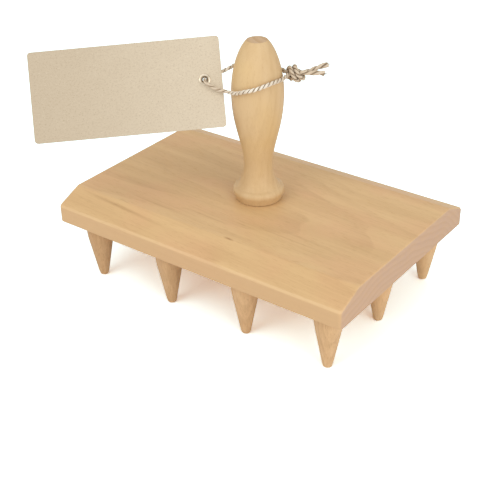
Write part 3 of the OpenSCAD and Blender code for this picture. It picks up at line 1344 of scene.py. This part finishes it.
@dataclass
class Twine:
    """The loop of two-ply twine, tied in an overhand knot with both its ends."""

    tag: SwingTag
    loop_z: float = 150 * MM
    radius: float = 1.35 * MM
    length: float = 280 * MM
    lay: float = 6.6 * MM
    calm: float = 0.6
    calm_reach: float = 26 * MM
    swell: float = 0.25
    pull: float = 0.26
    pull_reach: float = 27 * MM
    open_reach: float = 7 * MM
    # A ply, in shares of the twine's radius: place, its shift at an end, half depth and width
    ply_out: float = 0.46
    ply_opened: float = 0.12
    ply_deep: float = 0.54
    ply_wide: float = 0.72
    ply_sides: int = 14
    ply_apart: float = 9.0
    slub: float = 3.2 * MM
    slub_share: float = 0.09
    strands: int = 5
    strand_share: float = 0.035
    strand_lay: float = 9 * MM
    ring_step: float = 0.32 * MM
    seed: int = 7
    # Loose fibres: how many, their roots in shares of the radius, and ranges of their course
    hairs: int = 230
    hair_margin: int = 12
    end_hairs: int = 26
    hair_root: float = 0.8
    end_root: Pair = (0.1, 0.9)
    hair_reach: Pair = mm(1.2, 2.6)
    hair_lift: Pair = (0.3, 0.7)
    end_lift: Pair = (0.1, 0.35)
    hair_bend: float = 0.5
    finish: PlantFibre = PlantFibre()
    knot_heading: float = math.radians(37)
    knot_radius: float = 21.0
    knot_up: float = 2.0
    # The strands as in the part's source, in millimetres: outwards, up and towards the front
    front_strand: tuple[Triple, ...] = (
        (-6.5, 0.5, 11), (-5, 0.5, 8.5), (-3.5, 0.5, 6), (-2, 0.5, 3), (0, 1, 0.5),
        (2, 1.5, -0.5), (4, 1.5, -2), (6.5, 0.5, -4), (8.5, -2, -3), (8.5, -3, 0),
        (7, -1.5, 3), (5, 1, 4), (4, 3, 3), (3.5, 4.5, 0), (3, 4.5, -2.5), (2.5, 2, -5.5),
        (2, -1, -7), (1.5, -3.5, -5), (2.5, -3, -2), (5.5, -1.5, -1), (7.5, 0, -1),
        (10, 1, -1.5), (13, 1.5, -2), (16, 2.5, -2.5), (18.5, 3.5, -2.5),
        (21.5, 4.5, -2.5), (24.5, 5, -3),
    )
    back_strand: tuple[Triple, ...] = (
        (-6.5, -0.5, -11), (-4.5, 0, -8.5), (-4, 0.5, -5.5), (-2.5, 0.5, -3), (1, 0, -3),
        (3.5, -1, -4), (5.5, -3.5, -4), (6, -4.5, -1), (5, -3.5, 2), (3, -2, 4),
        (1.5, 1, 3.5), (0.5, 3.5, 2), (0, 4, -1), (-0.5, 3, -4), (-1, 0.5, -6),
        (-1, -2, -4.5), (-0.5, -3, -1), (1.5, -2.5, 1), (4.5, 0.5, 1), (7, 2, 1.5),
        (10, 1.5, 1.5), (13, 1, 1), (16, 1, 1), (19, 1, 1), (22, 0.5, 1),
    )
    # The loop as in the part's source, in millimetres from the axis at the loop's height
    loop_back: tuple[Triple, ...] = (
        (-1, 18.5, 1.5), (-7, 17, 2.5), (-12, 13.5, 3.5), (-16, 8, 4.5), (-18, 2, 5),
        (-18.5, -5, 4.5), (-21.5, -8.5, 2.5), (-25, -12, 0), (-27.5, -15.5, -2),
    )
    loop_front: tuple[Triple, ...] = (
        (-24, -23.5, -0.5), (-20.5, -23, -2.5), (-16, -21.5, -4.5), (-12, -19, -5.5),
        (-8, -18, -6), (-3, -19, -5), (3.5, -19, -2.5), (10, -16, -0.5),
        (14.5, -11.5, 1.5), (17, -6, 2.5),
    )
    through_eyelet: Triple = (-2, 0, 2)
    nodes: tuple[str, ...] = ("twine_loop", "twine_knot", "twine_tail_upper", "twine_tail_lower")

    def _from_knot(self, spot: Triple) -> Vector:
        """Find a place in the knot.

        Args:
            spot: The place as outwards, up and towards the front.

        Returns:
            The place in millimetres from the axis at the loop's height.
        """
        out, up, front = spot
        cos, sin = math.cos(self.knot_heading), math.sin(self.knot_heading)
        reach = self.knot_radius + out
        return Vector((reach * cos + front * sin, reach * sin - front * cos, self.knot_up + up))

    def route(self) -> list[Vector]:
        """Lay out the whole twine.

        Returns:
            Its places from the lower tail's tip to the upper tail's tip.
        """
        normal = (self.tag.place.to_3x3() @ UP).normalized()
        eyelet = (self.tag.eyelet_at - UP * self.loop_z) / MM
        spots = [
            *map(self._from_knot, reversed(self.back_strand)),
            *map(Vector, self.loop_back),
            *[eyelet + normal * offset for offset in self.through_eyelet],
            *map(Vector, self.loop_front),
            *map(self._from_knot, self.front_strand),
        ]
        return [spot * MM + UP * self.loop_z for spot in spots]

    def centreline(self) -> list[Vector]:
        """Draw the smooth curve through the route.

        Returns:
            Closely spaced points on it.
        """
        route = self.route()
        padded = [2 * route[0] - route[1], *route, 2 * route[-1] - route[-2]]
        line = []
        for a, b, c, d in zip(padded, padded[1:], padded[2:], padded[3:]):
            steps = max(2, round((c - b).length / self.ring_step))
            slope, bow, turn = c - a, 2 * a - 5 * b + 4 * c - d, 3 * b - a - 3 * c + d
            for t in (step / steps for step in range(steps)):
                line.append(0.5 * (2 * b + slope * t + bow * t * t + turn * t**3))
        return [*line, route[-1]]

    def _rings(self, line: Sequence[Vector]) -> list[Ring]:
        """Set a ring at each point, twisted and thinned as the twine is there.

        Args:
            line: The points of the centreline.

        Returns:
            The rings.
        """
        steps = [0.0, *((b - a).length for a, b in zip(line, line[1:]))]
        total = sum(steps)
        spans = [(point - self.tag.eyelet_at).length for point in line]
        eyelet = sum(steps[: spans.index(min(spans)) + 1])
        LOG.info("the eyelet holds the twine at %.1f mm", eyelet / MM)
        rings = []
        travelled, turn, up, last = 0.0, 0.0, UP, len(line) - 1
        for i, (point, step) in enumerate(zip(line, steps)):
            ahead = (line[min(i + 1, last)] - line[max(i - 1, 0)]).normalized()
            up = (up - ahead * up.dot(ahead)).normalized()
            travelled += step
            to_end = min(travelled, total - travelled)
            calm, opened = self._near(to_end, self.calm_reach), self._near(to_end, self.open_reach)
            pulled = self._near(abs(travelled - eyelet), self.pull_reach)
            turn -= FULL_TURN * step / self.lay * (1 - self.calm * max(calm, pulled))
            size = self.radius * (1 + self.swell * calm - self.pull * pulled)
            rings.append(Ring(point, ahead, up, ahead.cross(up), travelled, turn, opened, size))
        return rings

    @staticmethod
    def _near(distance: float, reach: float) -> float:
        """1 at a place, falling smoothly to 0 at a reach from it."""
        share = min(distance / reach, 1.0)
        return (1 - share) ** 2 * (1 + 2 * share)

    def build(self) -> list[Piece]:
        """Build the two plies and the loose fibres on them.

        Returns:
            The finished pieces, the twine first.
        """
        line = self.centreline()
        rings = self._rings(line)
        finish = self.finish.material()
        shape = bmesh.new()
        layer = shape.loops.layers.uv.new("map")
        for ply in (0, 1):
            self._add_ply(shape, layer, rings, ply)
        bmesh.ops.recalc_face_normals(shape, faces=shape.faces)
        rides = (finish, Body.TWINE, Slot.TWINE)
        twine = publish(shape, "jute_twine", *rides, *self.nodes, crease=math.pi)
        fibres = publish(self._loose_fibres(rings), "loose_fibres", *rides, crease=math.pi)
        return [twine, fibres]

    def _add_ply(
        self, shape: Shape, layer: bmesh.types.BMLayerItem, rings: Sequence[Ring], ply: int
    ) -> None:
        """Sweep one ply along the twine, with the ridges of its fibres.

        Args:
            shape: The shape that grows.
            layer: The map of its surface: round the ply, and along the twine.
            rings: The twine's rings.
            ply: Which of the two plies it is.
        """
        sides = self.ply_sides
        angles = [FULL_TURN * k / sides for k in range(sides)]
        swept = []
        for ring in rings:
            out = ring.out(math.pi * ply + ring.turn)
            across = ring.ahead.cross(out)
            shift = self.ply_out + self.ply_opened * ring.opened
            centre = ring.centre + out * ring.size * shift
            points = []
            for angle in angles:
                x, y = math.cos(angle), math.sin(angle)
                down = ring.travelled / self.slub + self.ply_apart * ply
                slub = noise.noise(Vector((x, y, down)))
                twist = FULL_TURN * ring.travelled / self.strand_lay
                strand = math.cos(self.strands * angle + twist)
                size = ring.size * (1 + self.strand_share * strand + self.slub_share * slub)
                arm = out * x * self.ply_deep + across * y * self.ply_wide
                points.append(shape.verts.new(centre + arm * size))
            swept.append(points)
        for index, face in enumerate(skin(shape, swept)):
            i, k = divmod(index, sides)
            low, high = rings[i].travelled, rings[i + 1].travelled
            corners = ((k, low), (k + 1, low), (k + 1, high), (k, high))
            for loop, (side, height) in zip(face.loops, corners):
                loop[layer].uv = (side / sides, height)

    def _loose_fibres(self, rings: Sequence[Ring]) -> Shape:
        """Grow thin fibres that stand off the twine, and more at its two cut ends.

        Args:
            rings: The twine's rings.

        Returns:
            The fibres' shape.
        """
        chance = random.Random(self.seed)
        shape = bmesh.new()
        last, margin = len(rings) - 1, self.hair_margin
        starts = [(chance.randrange(margin, last - margin), False) for _ in range(self.hairs)]
        starts += [(end, True) for end in (0, last) for _ in range(self.end_hairs)]
        for i, at_end in starts:
            ring = rings[i]
            out = ring.out(chance.uniform(0, FULL_TURN))
            way = (1 if i else -1) if at_end else chance.choice((-1, 1))
            reach = chance.uniform(*self.hair_reach)
            start = chance.uniform(*self.end_root) if at_end else self.hair_root
            root = ring.centre + out * self.radius * start
            lift = chance.uniform(*(self.end_lift if at_end else self.hair_lift))
            bend = chance.uniform(-self.hair_bend, self.hair_bend)
            side = ring.ahead.cross(out)
            Hair(root, ring.ahead * way, out, side, reach, lift, bend).sweep(shape)
        bmesh.ops.recalc_face_normals(shape, faces=shape.faces)
        return shape


# Setting


@dataclass
class Lamp:
    """A large soft lamp that points at the object."""

    name: str
    place: Triple
    size: float
    power: float

    def build(self, aim: Vector) -> None:
        """Hang the lamp.

        Args:
            aim: Where it points.
        """
        data = bpy.data.lights.new(self.name, "AREA")
        data.shape = "DISK"
        data.size = self.size
        data.energy = self.power
        lamp = to_scene(self.name, data)
        lamp.location = self.place
        lamp.rotation_euler = (Vector(self.place) - aim).to_track_quat("Z", "Y").to_euler()


@dataclass
class Studio:
    """A white floor, soft lamps and an even white surround."""

    floor_size: float = 8.0
    ambient: float = 0.72
    aim: Triple = (0.0, 0.0, 0.07)
    white: Colour = (1.0, 1.0, 1.0, 1.0)
    # The floor where it is looked at, the red in its shadow, and what lights the object
    looked_at: Colour = (1.24, 1.76, 1.85, 1.0)
    shadow_glow: Colour = (0.24, 0.04, 0.02, 1.0)
    lighting: Colour = (0.92, 0.9, 0.9, 1.0)
    lamps: tuple[Lamp, ...] = (
        Lamp("key", (-0.35, -1.3, 1.3), 1.3, 8.6),
        Lamp("fill", (1.38, -0.45, 0.65), 1.2, 7.2),
    )

    def build(self) -> None:
        """Build the floor, the lamps and the world."""
        self._floor()
        self._world()
        for lamp in self.lamps:
            lamp.build(Vector(self.aim))
        bpy.context.scene.view_settings.view_transform = "Standard"

    @staticmethod
    def _seen(made: Shader) -> Wire:
        """Tell what is looked at, straight or by way of a mirror or glass.

        Args:
            made: The node tree that asks.

        Returns:
            1 where it is looked at, and else 0.
        """
        path = made.add("ShaderNodeLightPath", output="Is Camera Ray")
        outputs = path.socket.node.outputs
        glossy = Wire(made, outputs["Is Glossy Ray"])
        through = Wire(made, outputs["Is Transmission Ray"])
        return path.larger(glossy).larger(through)

    def _floor(self) -> None:
        """Lay a floor that shows white, with the object's warm soft shadow on it."""
        made = Shader(bpy.data.materials.new("studio_floor"))
        mirrored = made.add("ShaderNodeLightPath", output="Is Glossy Ray")
        answer = made.mix(mirrored, self.looked_at, self.white)
        lit = made.add("ShaderNodeBsdfDiffuse", values={"Color": answer})
        glow = {"Color": self.shadow_glow, "Strength": 1 - mirrored}
        glow = made.add("ShaderNodeEmission", values=glow)
        shown = made.add("ShaderNodeAddShader", values={0: lit, 1: glow})
        plain = made.add("ShaderNodeBsdfDiffuse", values={"Color": self.lighting})
        both = made.add("ShaderNodeMixShader", values={0: self._seen(made), 1: plain, 2: shown})
        made.add("ShaderNodeOutputMaterial", values={"Surface": both})
        shape = bmesh.new()
        bmesh.ops.create_grid(shape, x_segments=2, y_segments=2, size=self.floor_size / 2)
        mesh = to_mesh(shape, "studio_floor")
        mesh.materials.append(made.owner)
        to_scene("studio_floor", mesh)

    def _world(self) -> None:
        """Put an even surround that shows white round the object."""
        world = bpy.data.worlds.new("surround")
        bpy.context.scene.world = world
        made = Shader(world)
        strength = self._seen(made) * (1 - self.ambient) + self.ambient
        values = {"Color": self.white, "Strength": strength}
        back = made.add("ShaderNodeBackground", values=values)
        made.add("ShaderNodeOutputWorld", values={"Surface": back})


@dataclass
class Viewpoint:
    """The camera, where the photograph was taken from."""

    place: Triple = mm(368.65, -505.18, 398.66)
    right: Triple = (0.806603, 0.590915, -0.014551)
    up: Triple = (-0.295519, 0.424460, 0.855864)
    back: Triple = (0.511919, -0.686042, 0.516997)
    sensor: float = 36.0
    focal_share: float = 1033.78 / 500
    clip: Pair = (0.01, 50.0)

    def build(self) -> None:
        """Set up the scene's camera."""
        data = bpy.data.cameras.new("viewpoint")
        data.sensor_fit = "HORIZONTAL"
        data.sensor_width = self.sensor
        data.lens = self.sensor * self.focal_share
        data.clip_start, data.clip_end = self.clip
        data.dof.use_dof = False
        camera = to_scene("viewpoint", data)
        turned = Matrix((self.right, self.up, self.back)).transposed().to_4x4()
        camera.matrix_world = Matrix.Translation(self.place) @ turned
        bpy.context.scene.camera = camera


def write_sizes() -> None:
    """Update the view layer, so that every piece's place is current."""
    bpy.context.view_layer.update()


def main() -> None:
    """Build every part of the scene in order."""
    logging.basicConfig(level=logging.INFO, format="%(name)s: %(message)s")
    Viewpoint().build()
    tag = SwingTag(eyelet_at=Vector(mm(-27, -20.5, 149.5)))
    Twine(tag=tag).build()
    tag.build()
    board, pegs = Board(), Pegs()
    screw = Screw(base=board.underside)
    cutter = pegs.holes()
    merge(cutter, screw.hole())
    board.build(cutter)
    Handle(base=board.top).build(screw.hole())
    pegs.build()
    screw.build()
    Studio().build()
    write_sizes()


if __name__ == "__main__":
    main()
